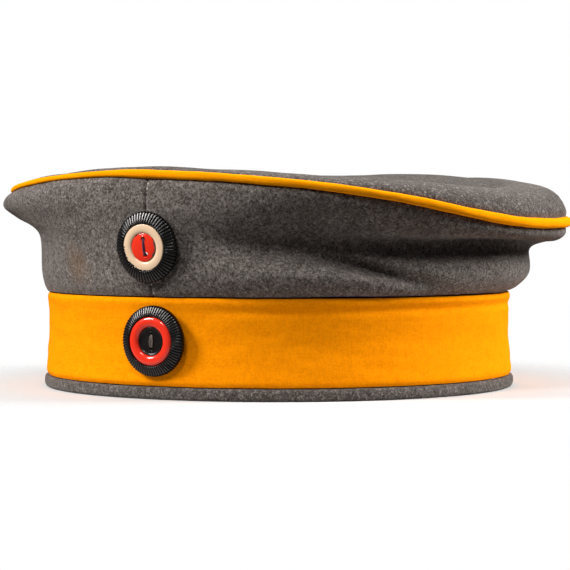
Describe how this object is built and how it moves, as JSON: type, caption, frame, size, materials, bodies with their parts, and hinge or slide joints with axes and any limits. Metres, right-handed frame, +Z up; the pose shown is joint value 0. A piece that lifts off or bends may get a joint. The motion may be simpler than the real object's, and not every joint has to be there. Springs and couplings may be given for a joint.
{
  "type": "forage cap",
  "caption": "Peakless round forage cap: soft grey wool crown with yellow piping, yellow cloth band, grey hem and two sewn-on cockades.",
  "frame": {"origin": "on the surface the hem stands on, under the middle of the cap's box", "axes": "+Z up out of the crown's top; the front, with its seam and cockades, faces -Y; +X is the wearer's left"},
  "size_m": [0.2248, 0.2132, 0.0872],
  "materials": {
    "grey_wool": "felted flecked wool cloth",
    "yellow_cloth": "smooth yellow-orange wool cloth",
    "black_lacquer": "glossy black lacquer",
    "red_lacquer": "glossy red lacquer",
    "cream_lacquer": "aged cream lacquer",
    "dark_thread": "dark waxed sewing thread",
    "grey_thread": "grey-brown sewing thread"
  },
  "bodies": {
    "root": {"hem": "grey_wool", "band": "yellow_cloth", "crown_side_left": "grey_wool", "crown_side_right": "grey_wool", "crown_top": "grey_wool", "piping": "yellow_cloth", "upper_cockade_rim": "black_lacquer", "upper_cockade_ring": "cream_lacquer", "upper_cockade_centre": "red_lacquer", "upper_cockade_stitch": "dark_thread", "lower_cockade_rim": "black_lacquer", "lower_cockade_ring": "red_lacquer", "lower_cockade_centre": "black_lacquer", "lower_cockade_stitch": "grey_thread"}
  },
  "joints": []
}
